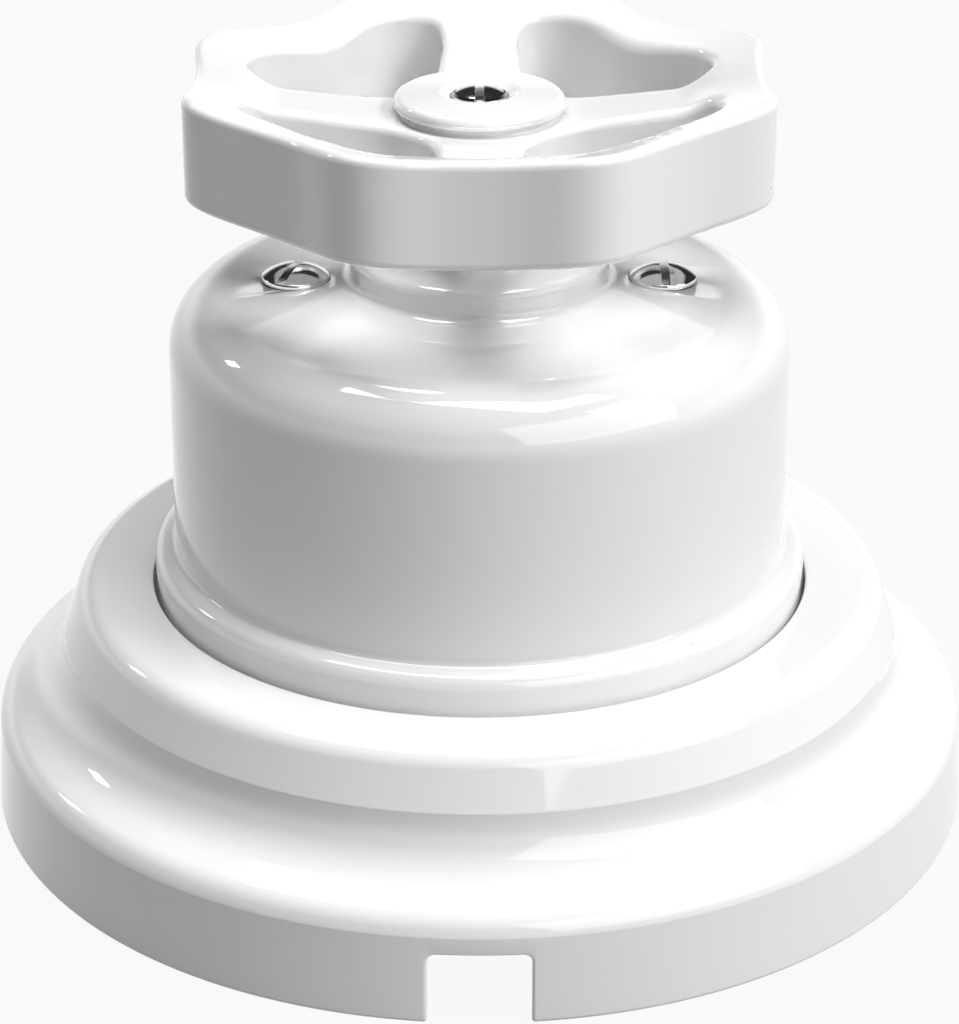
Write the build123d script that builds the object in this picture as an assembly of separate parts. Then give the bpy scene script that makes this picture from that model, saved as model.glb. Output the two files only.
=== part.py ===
from build123d import *
import os
from math import cos, radians, sin

# Porcelain two-way rotary switch, lying on its back as if the wall were the floor.
# The wall plane is Z = 0, the switch axis is +Z and the origin is the centre of the back.
# The cable notch faces -Y and the two cover screws lie on the X axis. Millimetres throughout.

# Frame: the glazed ring that stands on the wall
frame_radius = 50.0
frame_height = 23.0
frame_wall_top_radius = 49.4
frame_wall_height = 8.8
roll_corner_radius = 48.93
roll_corner_height = 10.33
roll_rounding = 3.4
collar_foot_radius = 42.35
collar_foot_height = 17.7
collar_top_radius = 40.42
cove_corner_height = 13.29
cove_rounding = 6.4
collar_rounding = 2.5
recess_radius = 33.2
recess_floor = 19.0
ledge_radius = 24.0
ledge_underside = 13.5
hollow_rim_radius = 44.9
hollow_mid_radius = 44.2
hollow_mid_height = 6.0
hollow_top_radius = 37.5
notch_width = 9.6
notch_height = 7.0
notch_corner = 0.8
recess_edge = 0.5
ledge_edge = 0.6
hollow_top_rounding = 3.0
hollow_mid_rounding = 4.0

# Cover: the cap over the works
bead_radius = 32.9
bead_rounding = 2.0
cover_foot_radius = 30.85
cover_foot_height = 27.2
cover_shoulder_radius = 30.65
cover_shoulder_height = 52.97
shoulder_rounding = 6.0
boss_foot_radius = 12.8
boss_foot_height = 54.2
boss_radius = 12.7
boss_height = 57.1
neck_foot_height = 58.2
neck_radius = 6.4
neck_height = 61.0
cover_bore_radius = 4.1
cover_inner_radius = 27.5
cover_inner_top_radius = 27.3
cover_ceiling_edge = 48.9
cover_ceiling_middle = 49.6
cover_foot_edge = 0.3
cover_inner_edge = 0.5
boss_cove = 1.1
boss_edge = 1.0
neck_cove = 2.2
neck_edge = 0.5
cover_bore_edge = 0.4
ceiling_rounding = 3.0

# Cover screws: raised countersunk heads, each left at its own slot angle
cover_screw_offset = 18.1
cover_screw_seat = 53.8
cover_screw_head_radius = 3.2
cover_screw_dome = 1.1
cover_screw_edge = 0.15
cover_screw_cone = 1.15
cover_screw_tip = 39.5
cover_hole_radius = 2.0
cover_sink_depth = 1.3
cover_sink_play = 0.1
cover_slot_angles = {-1: 66.0, 1: 92.0}
slot_width = 0.8
slot_depth = 1.0
cutter_spare = 1.0

# Knob: a dished handwheel with an eight-lobed outline
knob_mean_radius = 27.95
knob_lobe_four = 0.47
knob_lobe_eight = -1.35
knob_lobe_sixteen = 0.17
outline_points = 48
knob_edge_radius = 28.0
knob_edge_top = 75.25
knob_edge_depth = 10.3
knob_dish_slope = 0.246
knob_web_lift = 2.4
knob_rim_width = 5.1
knob_rim_inner_radius = 23.3
knob_rim_step = 0.4
spoke_width = 7.2
window_hub_radius = 9.0
window_corner = 2.3
knob_top_rounding = 0.9
knob_bottom_rounding = 0.6
knob_blank_radius = 32.0
knob_blank_top = 82.0
web_foot_radius = 7.4
web_cove = 0.8
rim_cove = 1.2
rim_foot_edge = 0.6
hub_cove = 0.9
hub_foot_edge = 0.5
hub_disc_lower_edge = 0.35
hub_disc_upper_edge = 0.8
hub_disc_radius = 8.3
hub_disc_top = 72.75
hub_disc_bottom = 71.5
hub_radius = 7.7
hub_foot_radius = 7.2
hub_foot_height = 61.4
dimple_radius = 4.4
dimple_bottom = 72.0
dimple_edge = 1.5
knob_seat_edge = 0.15
knob_bore_top = 68.0
knob_screw_hole_radius = 1.7
knob_screw_seat_radius = 2.85
knob_screw_seat = 71.5
knob_screw_head_radius = 2.7
knob_screw_dome = 0.65
knob_screw_edge = 0.4
knob_screw_tip = 60.2
knob_screw_slot_angle = 90.0

# Base disc with its bush pocket, wire holes and wall-screw holes
base_radius = 26.8
base_top = 26.0
base_hub_radius = 7.0
base_hub_top = 28.5
base_rounding = 0.6
pocket_floor = 21.0
wall_screw_offset = 20.0
wall_screw_radius = 2.2
wall_screw_head_radius = 4.0
wall_screw_seat = 22.5
wire_hole_radius = 3.0
wire_hole_angles = (66.5, 113.5, 293.5)
terminal_offset = 20.5
terminal_angles = {"common": 315.0, "way_one": 135.0, "way_two": 45.0}
rivet_hole_radius = 1.3
rivet_pocket_radius = 2.5
slip = 0.05

# Shaft, its bushes and the rings on it
shaft_radius = 3.0
shaft_flat = 2.4
shaft_top = 67.8
shaft_shoulder = 29.3
lower_flats_bottom = 29.6
lower_flats_top = 44.25
journal_radius = 2.5
journal_bottom = 21.3
groove_radius = 2.2
groove_bottom = 39.95
groove_top = 40.75
knob_thread_radius = 1.5
knob_thread_bottom = 59.0
lower_bush_radius = 4.4
lower_bush_flange_radius = 6.0
lower_bush_top = 29.1
upper_bush_radius = 4.85
upper_bush_flange_radius = 6.5
upper_bush_bottom = 45.05
upper_bush_top = 48.0
circlip_bottom = 40.0
circlip_thickness = 0.7
circlip_radius = 4.6
circlip_gap = 3.6
washer_radius = 5.5
washer_bottom = 44.3
washer_top = 45.0

# Pillars that the cover screws go into, and the plate clamped on them
pillar_radius = 3.2
pillar_spigot_radius = 2.4
pillar_stud_radius = 2.6
pillar_stud_top = 48.8
pillar_thread_radius = 1.8
pillar_thread_bottom = 38.0
nut_across_flats = 8.0
nut_height = 1.9
plate_bottom = 45.5
plate_top = 47.0
plate_length = 44.0
plate_width = 18.0
plate_corner = 4.0
lug_offset = 14.0
lug_thickness = 1.2
lug_bottom = 40.0
lug_inner = 4.6
lug_outer = 8.4

# Quarter-turn action: a square cam between two leaf springs
cam_width = 12.0
cam_bottom = 40.8
cam_top = 44.2
cam_corner = 2.0
spring_gap = 0.02
spring_thickness = 0.48
spring_half_length = 15.2
spring_hook = 1.4
spring_bottom = 40.6
spring_top = 45.0

# Wiper and the drum that turns it
wiper_bottom = 31.0
wiper_top = 32.0
wiper_disc_radius = 8.2
wiper_reach = 13.0
wiper_blade_width = 5.0
wiper_angle = 45.0
drum_radius = 8.0
drum_top = 39.8
drum_neck_radius = 4.4
drum_neck_bottom = 29.6
drum_rounding = 0.5
bridge_rivet_radius = 0.85
bridge_rivet_head_radius = 1.1
bridge_rivet_head = 0.4
bridge_rivet_depth = 3.0
bridge_rivet_offset = 5.8
wiper_corner = 1.0

# Contact fingers and terminal blocks
strip_thickness = 0.6
strip_width = 4.0
strip_outer = 24.0
common_leg = 13.4
common_arm_top = 30.8
common_arm_end = 7.1
common_button = 7.9
common_button_top = 30.95
way_leg = 13.7
way_arm_top = 33.3
way_arm_end = 10.2
way_button = 11.2
way_button_bottom = 32.05
button_radius = 0.7
block_length = 9.0
block_depth = 7.0
block_height = 8.0
block_edge = 0.5
wire_bore_radius = 1.75
wire_bore_height = 30.0
rivet_hole_top = 28.0
terminal_thread_radius = 1.6
terminal_head_radius = 2.8
terminal_screw_tip = 31.8
terminal_dome = 0.9
terminal_screw_edge = 0.9
rivet_radius = 1.25
rivet_head_radius = 2.3
rivet_head = 1.4
rivet_top = 27.9
block_bottom = base_top + strip_thickness
block_top = block_bottom + block_height

# Leg, arm top, arm end, button, button bottom and button top of the two kinds of finger
common_finger = (
    common_leg, common_arm_top, common_arm_end, common_button, common_arm_top, common_button_top,
)
way_finger = (
    way_leg, way_arm_top, way_arm_end, way_button, way_button_bottom, way_arm_top - strip_thickness,
)

base_up = (Align.CENTER, Align.CENTER, Align.MIN)
top_down = (Align.CENTER, Align.CENTER, Align.MAX)


def turned(corners):
    """A turned solid about Z. Each corner of its section is radius, height and rounding."""
    points = [(radius, height) for radius, height, _ in corners]
    roundings = [rounding for _, _, rounding in corners]
    section = make_face(FilletPolyline(*points, radius=roundings, close=True))
    return revolve(Plane.XZ * section, Axis.Z)


def rod(radius, low, high):
    """A round rod on the Z axis between two heights."""
    return Pos(0, 0, low) * Cylinder(radius, high - low, align=base_up)


def bar(length, width, low, high):
    """A square bar on the Z axis between two heights."""
    return Pos(0, 0, low) * Box(length, width, high - low, align=base_up)


def tube(outer, inner, low, high):
    """A round tube on the Z axis between two heights."""
    return rod(outer, low, high) - rod(inner, low, high)


def flatted(radius, flat, low, high):
    """A rod with two flats that face +X and -X, as on the shaft and in every hub it drives."""
    return rod(radius, low, high) & bar(2 * flat, 3 * radius, low, high)


def polar(radius, angle):
    """A point in plan, from its radius and its angle in degrees."""
    return radius * cos(radians(angle)), radius * sin(radians(angle))


def out_to(radius, angle):
    """The place at a radius and angle where +X points outwards."""
    return Rot(0, 0, angle) * Pos(radius, 0, 0)


def radial_bar(inner, outer, width, low, high):
    """A bar along +X between two radii."""
    return Pos((inner + outer) / 2, 0, 0) * bar(outer - inner, width, low, high)


def domed_screw(head_radius, dome, edge, seat, shank_radius, tip, slot_angle):
    """A slotted screw on the Z axis with a domed head."""
    crown = seat + edge + dome
    ball_radius = (head_radius**2 + dome**2) / (2 * dome)
    head = Pos(0, 0, crown - ball_radius) * Sphere(ball_radius)
    body = (head & rod(head_radius, seat, crown)) + rod(shank_radius, tip, seat)
    slot = Rot(0, 0, slot_angle) * bar(3 * head_radius, slot_width, crown - slot_depth, crown)
    return body - slot


def make_frame():
    """Porcelain frame: stepped ring, hollow behind, with a ledge inside and a cable notch."""
    ring = turned(
        [
            (frame_radius, 0, 0),
            (frame_wall_top_radius, frame_wall_height, 0),
            (roll_corner_radius, roll_corner_height, roll_rounding),
            (collar_foot_radius, cove_corner_height, cove_rounding),
            (collar_foot_radius, collar_foot_height, 0),
            (collar_top_radius, frame_height, collar_rounding),
            (recess_radius, frame_height, recess_edge),
            (recess_radius, recess_floor, 0),
            (ledge_radius, recess_floor, ledge_edge),
            (ledge_radius, ledge_underside, ledge_edge),
            (hollow_top_radius, ledge_underside, hollow_top_rounding),
            (hollow_mid_radius, hollow_mid_height, hollow_mid_rounding),
            (hollow_rim_radius, 0, 0),
        ]
    )
    # The notch is a slot through the front wall, rounded at its two upper corners
    outline = Pos(0, notch_height / 2) * Rectangle(notch_width, notch_height)
    outline = fillet(outline.vertices().group_by(Axis.Y)[-1], notch_corner)
    front = Plane(origin=(0, -frame_radius, 0), x_dir=(1, 0, 0), z_dir=(0, -1, 0))
    return ring - extrude(front * outline, ledge_radius - frame_radius)


def make_cover():
    """Porcelain cap: a shell with a bead at its foot, a round shoulder and a stepped boss."""
    cap = turned(
        [
            (bead_radius, recess_floor, cover_foot_edge),
            (bead_radius, cover_foot_height, bead_rounding),
            (cover_foot_radius, cover_foot_height, 0),
            (cover_shoulder_radius, cover_shoulder_height, shoulder_rounding),
            (boss_foot_radius, boss_foot_height, boss_cove),
            (boss_radius, boss_height, boss_edge),
            (neck_radius, neck_foot_height, neck_cove),
            (neck_radius, neck_height, neck_edge),
            (cover_bore_radius, neck_height, cover_bore_edge),
            (cover_bore_radius, cover_ceiling_middle, cover_bore_edge),
            (cover_inner_top_radius, cover_ceiling_edge, ceiling_rounding),
            (cover_inner_radius, recess_floor, cover_inner_edge),
        ]
    )
    # Each screw hole opens into a countersink that is a little wider than the head
    mouth = cover_screw_head_radius + cover_sink_play
    cutter = rod(cover_hole_radius, cover_ceiling_edge - cutter_spare, cover_screw_seat)
    sink = Cone(cover_hole_radius, mouth, cover_sink_depth, align=top_down)
    cutter += Pos(0, 0, cover_screw_seat) * sink
    cutter += rod(mouth, cover_screw_seat, cover_screw_seat + cutter_spare)
    for side in (-1, 1):
        cap -= Pos(side * cover_screw_offset, 0, 0) * cutter
    return cap


def make_cover_screws():
    """Two slotted screws with raised countersunk heads, left as the last turn left them."""
    shank = pillar_thread_radius - slip
    cone = Cone(shank, cover_screw_head_radius, cover_screw_cone, align=top_down)
    screws = []
    for side, angle in cover_slot_angles.items():
        screw = domed_screw(
            cover_screw_head_radius, cover_screw_dome, cover_screw_edge,
            cover_screw_seat, shank, cover_screw_tip, angle,
        )
        screw += Pos(0, 0, cover_screw_seat) * cone
        screws.append(Pos(side * cover_screw_offset, 0, 0) * screw)
    return Compound(children=screws)


def knob_radius(angle):
    """Outline of the knob: eight shallow lobes, with the waists between spokes a little deeper."""
    turn = radians(angle)
    waves = knob_lobe_four * cos(4 * turn) + knob_lobe_eight * cos(8 * turn)
    return knob_mean_radius + waves + knob_lobe_sixteen * cos(16 * turn)


def knob_outline(inset):
    """The knob's wavy outline in plan, moved inwards by inset."""
    angles = [360 * step / outline_points for step in range(outline_points)]
    points = [polar(knob_radius(angle) - inset, angle) for angle in angles]
    return make_face(Spline(*points, periodic=True))


def knob_windows():
    """The four windows in plan: what the rim, the hub and two crossed spokes leave open."""
    windows = knob_outline(knob_rim_width) - Circle(window_hub_radius)
    windows -= Rectangle(2 * knob_edge_radius, spoke_width)
    windows -= Rectangle(spoke_width, 2 * knob_edge_radius)
    return fillet(windows.vertices(), window_corner)


def dish_height(edge_height, radius):
    """Height of a dished face at a radius, from its height at the edge radius."""
    return edge_height + knob_dish_slope * (radius - knob_edge_radius)


def make_knob():
    """One-piece porcelain knob: dished wheel, four windows, raised hub disc, flatted bore."""
    edge_bottom = knob_edge_top - knob_edge_depth
    web_bottom = edge_bottom + knob_web_lift
    rim_foot = knob_rim_inner_radius + knob_rim_step
    wheel = turned(
        [
            (knob_screw_hole_radius, hub_foot_height, 0),
            (hub_foot_radius, hub_foot_height, hub_foot_edge),
            (web_foot_radius, dish_height(web_bottom, web_foot_radius), web_cove),
            (knob_rim_inner_radius, dish_height(web_bottom, knob_rim_inner_radius), rim_cove),
            (rim_foot, dish_height(edge_bottom, rim_foot), rim_foot_edge),
            (knob_blank_radius, dish_height(edge_bottom, knob_blank_radius), 0),
            (knob_blank_radius, dish_height(knob_edge_top, knob_blank_radius), 0),
            (hub_radius, dish_height(knob_edge_top, hub_radius), hub_cove),
            (hub_radius, hub_disc_bottom, 0),
            (hub_disc_radius, hub_disc_bottom, hub_disc_lower_edge),
            (hub_disc_radius, hub_disc_top, hub_disc_upper_edge),
            (dimple_radius, hub_disc_top, dimple_edge),
            (knob_screw_seat_radius, dimple_bottom, knob_seat_edge),
            (knob_screw_seat_radius, knob_screw_seat, 0),
            (knob_screw_hole_radius, knob_screw_seat, 0),
        ]
    )
    height = knob_blank_top - hub_foot_height
    column = Pos(0, 0, hub_foot_height)
    body = wheel & (column * extrude(knob_outline(0), height))
    # Glaze-soft edges: round the rim first, below and above, then round the tops of the windows
    for rounding, pick in ((knob_bottom_rounding, min), (knob_top_rounding, max)):
        side = max(body.faces().filter_by(GeomType.EXTRUSION), key=lambda face: face.area)
        rings = [edge for edge in side.edges() if edge.is_closed]
        body = body.fillet(rounding, [pick(rings, key=lambda edge: edge.center().Z)])
    body -= column * extrude(knob_windows(), height)
    dishes = body.faces().filter_by(GeomType.CONE)
    upper = [face for face in dishes if face.normal_at(face.center()).Z > 0]
    dish = max(upper, key=lambda face: face.bounding_box().size.X)
    window_edges = [edge for wire in dish.inner_wires() for edge in wire.edges()]
    body = body.fillet(knob_top_rounding, window_edges)
    return body - flatted(shaft_radius + slip, shaft_flat + slip, hub_foot_height, knob_bore_top)


def make_base():
    """Porcelain disc that carries the works, with a raised hub round the shaft's lower end."""
    disc = fillet(rod(base_radius, recess_floor, base_top).edges(), base_rounding)
    disc += rod(base_hub_radius, base_top, base_hub_top)
    disc -= rod(lower_bush_radius + slip, pocket_floor, base_hub_top)
    for side in (-1, 1):
        wall_hole = rod(wall_screw_radius, recess_floor, base_top)
        wall_hole += rod(wall_screw_head_radius, wall_screw_seat, base_top)
        disc -= Pos(0, side * wall_screw_offset, 0) * wall_hole
        spigot_hole = rod(pillar_spigot_radius + slip, pocket_floor, base_top)
        disc -= Pos(side * cover_screw_offset, 0, 0) * spigot_hole
    for angle in wire_hole_angles:
        disc -= out_to(terminal_offset, angle) * rod(wire_hole_radius, recess_floor, base_top)
    for angle in terminal_angles.values():
        rivet_hole = rod(rivet_hole_radius, recess_floor, base_top)
        rivet_hole += rod(rivet_pocket_radius, recess_floor, pocket_floor)
        disc -= out_to(terminal_offset, angle) * rivet_hole
    return disc


def make_lower_bush():
    """Flanged brass bush pressed into the base's hub."""
    bush = rod(lower_bush_radius, pocket_floor, base_hub_top)
    bush += rod(lower_bush_flange_radius, base_hub_top, lower_bush_top)
    return bush - rod(journal_radius + slip, pocket_floor, lower_bush_top)


def make_upper_bush():
    """Flanged brass bush in the middle of the plate."""
    bush = rod(upper_bush_radius, upper_bush_bottom, plate_top)
    bush += rod(upper_bush_flange_radius, plate_top, upper_bush_top)
    return bush - rod(shaft_radius + slip, upper_bush_bottom, upper_bush_top)


def make_shaft():
    """Brass spindle: lower journal, flats for drum, cam and knob, a ring groove, a tapped end."""
    body = rod(shaft_radius, shaft_shoulder, shaft_top)
    for low, high in ((lower_flats_bottom, lower_flats_top), (hub_foot_height, shaft_top)):
        blank = bar(4 * shaft_radius, 4 * shaft_radius, low, high)
        body -= blank - bar(2 * shaft_flat, 4 * shaft_radius, low, high)
    body -= tube(2 * shaft_radius, groove_radius, groove_bottom, groove_top)
    body += rod(journal_radius, journal_bottom, shaft_shoulder)
    return body - rod(knob_thread_radius, knob_thread_bottom, shaft_top)


def make_knob_screw():
    """Slotted screw that holds the knob down on the shaft's shoulder."""
    return domed_screw(
        knob_screw_head_radius, knob_screw_dome, knob_screw_edge, knob_screw_seat,
        knob_thread_radius - slip, knob_screw_tip, knob_screw_slot_angle,
    )


def make_drum():
    """Moulded insulating drum on the shaft's flats, with a neck through the wiper."""
    body = fillet(rod(drum_radius, wiper_top, drum_top).edges(), drum_rounding)
    body += rod(drum_neck_radius, drum_neck_bottom, drum_top)
    body -= flatted(shaft_radius + slip, shaft_flat + slip, drum_neck_bottom, drum_top)
    for angle in (wiper_angle, wiper_angle + 180):
        hole = rod(bridge_rivet_radius, wiper_top, wiper_top + bridge_rivet_depth)
        body -= out_to(bridge_rivet_offset, angle) * hole
    return body


def make_bridge():
    """Brass wiper: a disc with two opposite blades that meet the way contacts."""
    body = rod(wiper_disc_radius, wiper_bottom, wiper_top)
    blade = bar(2 * wiper_reach, wiper_blade_width, wiper_bottom, wiper_top)
    body += Rot(0, 0, wiper_angle) * fillet(blade.edges().filter_by(Axis.Z), wiper_corner)
    body -= rod(drum_neck_radius + slip, wiper_bottom, wiper_top)
    for angle in (wiper_angle, wiper_angle + 180):
        hole = rod(bridge_rivet_radius, wiper_bottom, wiper_top)
        body -= out_to(bridge_rivet_offset, angle) * hole
    return body


def make_bridge_rivets():
    """Two rivets that hold the wiper under the drum."""
    rivet = rod(bridge_rivet_radius, wiper_bottom, wiper_top + bridge_rivet_depth)
    rivet += rod(bridge_rivet_head_radius, wiper_bottom - bridge_rivet_head, wiper_bottom)
    places = (wiper_angle, wiper_angle + 180)
    return Compound(children=[out_to(bridge_rivet_offset, angle) * rivet for angle in places])


def make_cam():
    """Square steel cam with soft corners, on the shaft's flats."""
    block = bar(cam_width, cam_width, cam_bottom, cam_top)
    block = fillet(block.edges().filter_by(Axis.Z), cam_corner)
    return block - flatted(shaft_radius + slip, shaft_flat + slip, cam_bottom, cam_top)


def make_circlip():
    """Open ring in the shaft's groove, under the cam."""
    high = circlip_bottom + circlip_thickness
    ring = tube(circlip_radius, groove_radius + slip, circlip_bottom, high)
    mouth = radial_bar(0, 2 * circlip_radius, circlip_gap, circlip_bottom, high)
    return ring - Rot(0, 0, -90) * mouth


def make_plate():
    """Pressed steel plate over the works, with four lugs that hold the leaf springs."""
    body = bar(plate_length, plate_width, plate_bottom, plate_top)
    body = fillet(body.edges().filter_by(Axis.Z), plate_corner)
    body -= rod(upper_bush_radius + slip, plate_bottom, plate_top)
    spring_inner = cam_width / 2 + spring_gap
    slot_middle = spring_inner + spring_thickness / 2
    slot_gap = spring_thickness + 2 * slip
    for x_side in (-1, 1):
        stud_hole = rod(pillar_stud_radius + slip, plate_bottom, plate_top)
        body -= Pos(x_side * cover_screw_offset, 0, 0) * stud_hole
        for y_side in (-1, 1):
            middle = y_side * (lug_inner + lug_outer) / 2
            lug = bar(lug_thickness, lug_outer - lug_inner, lug_bottom, plate_bottom)
            body += Pos(x_side * lug_offset, middle, 0) * lug
            slot = bar(2 * lug_thickness, slot_gap, spring_bottom, spring_top + slip)
            body -= Pos(x_side * lug_offset, y_side * slot_middle, 0) * slot
    return body


def make_spring(side):
    """Leaf spring along one side of the cam, with both ends hooked outwards past the lugs."""
    middle = side * (cam_width / 2 + spring_gap + spring_thickness / 2)
    leaf = bar(2 * spring_half_length, spring_thickness, spring_bottom, spring_top)
    body = Pos(0, middle, 0) * leaf
    for end in (-1, 1):
        x_middle = end * (spring_half_length - spring_thickness / 2)
        hook = bar(spring_thickness, spring_hook, spring_bottom, spring_top)
        body += Pos(x_middle, middle + side * (spring_hook - spring_thickness) / 2, 0) * hook
    return body


def make_pillars():
    """Two brass posts in the base, with studs for the plate and threads for the cover screws."""
    post = rod(pillar_radius, base_top, plate_bottom)
    post += rod(pillar_spigot_radius, pocket_floor, base_top)
    post += rod(pillar_stud_radius, plate_bottom, pillar_stud_top)
    post -= rod(pillar_thread_radius, pillar_thread_bottom, pillar_stud_top)
    return Compound(children=[Pos(side * cover_screw_offset, 0, 0) * post for side in (-1, 1)])


def make_nuts():
    """Two thin hexagon nuts that clamp the plate on the pillars."""
    hexagon = RegularPolygon(nut_across_flats / 2, 6, major_radius=False)
    nut = Pos(0, 0, plate_top) * extrude(hexagon, nut_height)
    nut -= rod(pillar_stud_radius + slip, plate_top, plate_top + nut_height)
    return Compound(children=[Pos(side * cover_screw_offset, 0, 0) * nut for side in (-1, 1)])


def make_contact(angle, leg, arm_top, arm_end, button, button_low, button_high):
    """Folded bronze finger: a foot under the block, a leg and an arm that ends in a button."""
    foot = radial_bar(leg, strip_outer, strip_width, base_top, block_bottom)
    leg_bar = radial_bar(leg, leg + strip_thickness, strip_width, base_top, arm_top)
    arm = radial_bar(arm_end, leg, strip_width, arm_top - strip_thickness, arm_top)
    rivet_hole = Pos(terminal_offset, 0, 0) * rod(rivet_hole_radius, base_top, block_bottom)
    finger = foot + leg_bar + arm - rivet_hole
    finger += Pos(button, 0, 0) * rod(button_radius, button_low, button_high)
    return Rot(0, 0, angle) * finger


def make_terminal(angle):
    """Brass block with a wire bore across it, a clamp-screw thread and a rivet hole below."""
    block = bar(block_depth, block_length, block_bottom, block_top)
    block = chamfer(block.edges().group_by(Axis.Z)[-1], block_edge)
    wire_bore = Rot(90, 0, 0) * Cylinder(wire_bore_radius, 2 * block_length)
    block -= Pos(0, 0, wire_bore_height) * wire_bore
    block -= rod(terminal_thread_radius, wire_bore_height, block_top)
    block -= rod(rivet_hole_radius, block_bottom, rivet_hole_top)
    return out_to(terminal_offset, angle) * block


def make_terminal_screws():
    """Three clamp screws, one in each block."""
    screw = domed_screw(
        terminal_head_radius, terminal_dome, terminal_screw_edge, block_top,
        terminal_thread_radius - slip, terminal_screw_tip, 0,
    )
    places = terminal_angles.values()
    return Compound(children=[out_to(terminal_offset, angle) * screw for angle in places])


def make_terminal_rivets():
    """Three rivets that hold the blocks and fingers down on the base."""
    rivet = rod(rivet_radius, pocket_floor, rivet_top)
    rivet += rod(rivet_head_radius, pocket_floor - rivet_head, pocket_floor)
    places = terminal_angles.values()
    return Compound(children=[out_to(terminal_offset, angle) * rivet for angle in places])


def write(name, shape):
    """Write one piece as its own STEP file."""
    solids = shape.solids()
    piece = solids[0] if len(solids) == 1 else Compound(children=list(solids))
    export_step(piece, f"parts/{name}.step")
    print(name, len(solids), round(sum(solid.volume for solid in solids), 1))


os.makedirs("parts", exist_ok=True)
write("frame", make_frame())
write("cover", make_cover())
write("cover_screws", make_cover_screws())
write("knob", make_knob())
write("knob_screw", make_knob_screw())
write("mechanism_base", make_base())
write("cover_pillars", make_pillars())
write("pillar_nuts", make_nuts())
write("lower_bush", make_lower_bush())
write("bearing_plate", make_plate())
write("upper_bush", make_upper_bush())
write("index_spring_front", make_spring(-1))
write("index_spring_rear", make_spring(1))
write("index_cam", make_cam())
write("shaft", make_shaft())
write("cam_circlip", make_circlip())
write("thrust_washer", tube(washer_radius, shaft_radius + slip, washer_bottom, washer_top))
write("rotor_drum", make_drum())
write("contact_bridge", make_bridge())
write("bridge_rivets", make_bridge_rivets())
write("terminal_screws", make_terminal_screws())
write("terminal_rivets", make_terminal_rivets())
for name, angle in terminal_angles.items():
    sizes = common_finger if name == "common" else way_finger
    write(f"terminal_{name}", make_terminal(angle))
    write(f"contact_{name}", make_contact(angle, *sizes))
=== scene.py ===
# %% [markdown]
# A porcelain rotary light switch. Three glazed pieces stack up: a frame on the wall, a cover over
# the works and a handwheel knob on top. Everything is in metres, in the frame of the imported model,
# and one millimetre is written once so that all sizes read as a maker would give them.

from math import asin, cos, pi, radians, sin, tan

import bmesh
import bpy
from mathutils import Matrix, Vector


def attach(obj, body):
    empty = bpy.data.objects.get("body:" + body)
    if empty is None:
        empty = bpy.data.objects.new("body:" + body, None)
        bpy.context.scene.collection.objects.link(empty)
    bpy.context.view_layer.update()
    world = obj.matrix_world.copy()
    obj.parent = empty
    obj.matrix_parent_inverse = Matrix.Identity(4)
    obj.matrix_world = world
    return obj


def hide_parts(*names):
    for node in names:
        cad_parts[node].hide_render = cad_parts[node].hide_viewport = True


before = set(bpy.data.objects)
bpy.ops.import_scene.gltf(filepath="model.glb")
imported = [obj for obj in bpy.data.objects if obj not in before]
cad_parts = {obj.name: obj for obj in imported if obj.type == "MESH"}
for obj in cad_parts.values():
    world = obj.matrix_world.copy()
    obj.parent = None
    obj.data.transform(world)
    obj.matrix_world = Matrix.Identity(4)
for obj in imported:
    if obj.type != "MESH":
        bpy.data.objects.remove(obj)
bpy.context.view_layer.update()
mm = 0.001
up = Vector((0, 0, 1))

# %% [markdown]
# A turned piece is a section spun about its axis. The section is drawn the way a template is filed:
# straight runs joined by true arcs. Each arc is one vertex spun about its own centre, so every
# rounding is a real radius and highlights run smoothly over it. Close beside each arc the straight
# run gets one more vertex, which keeps the flat part flat when the piece is shaded smooth.

# %% Sections and turning
arc_step = radians(5)
support = 0.12 * mm


def link_chain(shape, chain, closed):
    """Joins a list of vertices by edges, leaving out pairs that an arc has joined already."""
    pairs = list(zip(chain, chain[1:]))
    if closed:
        pairs.append((chain[-1], chain[0]))
    for first, second in pairs:
        if not any(edge.other_vert(first) is second for edge in first.link_edges):
            shape.edges.new((first, second))


def draw_arc(shape, corner, back, ahead, rounding):
    """One rounded corner: the vertex where the arc starts is spun about the arc's centre."""
    half = back.angle(ahead) / 2
    centre = corner + (back.normalized() + ahead.normalized()).normalized() * (rounding / sin(half))
    first = shape.verts.new(corner + back.normalized() * (rounding / tan(half)))
    last = corner + ahead.normalized() * (rounding / tan(half))
    axis = (first.co - centre).cross(last - centre).normalized()
    steps = max(3, round((pi - 2 * half) / arc_step))
    before = len(shape.verts)
    bmesh.ops.spin(
        shape, geom=[first], cent=centre, axis=axis, angle=pi - 2 * half, steps=steps,
        use_merge=False, use_duplicate=False,
    )
    shape.verts.ensure_lookup_table()
    return [first] + [shape.verts[index] for index in range(before, len(shape.verts))]


def draw_section(shape, corners, closed=True):
    """Draws a section in the XZ plane. Each corner is radius, height and rounding in mm."""
    points = [Vector((radius, 0, height)) * mm for radius, height, _ in corners]
    chain = []
    for number, (_, _, rounding) in enumerate(corners):
        corner = points[number]
        back = points[number - 1] - corner
        ahead = points[(number + 1) % len(points)] - corner
        at_end = not closed and number in (0, len(points) - 1)
        if at_end or rounding == 0:
            chain.append(shape.verts.new(corner))
            continue
        arc = draw_arc(shape, corner, back, ahead, rounding * mm)
        if (arc[0].co - points[number - 1]).length > 4 * support:
            arc.insert(0, shape.verts.new(arc[0].co + back.normalized() * support))
        if (arc[-1].co - points[(number + 1) % len(points)]).length > 4 * support:
            arc.append(shape.verts.new(arc[-1].co + ahead.normalized() * support))
        chain.extend(arc)
    link_chain(shape, chain, closed)
    return chain


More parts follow.
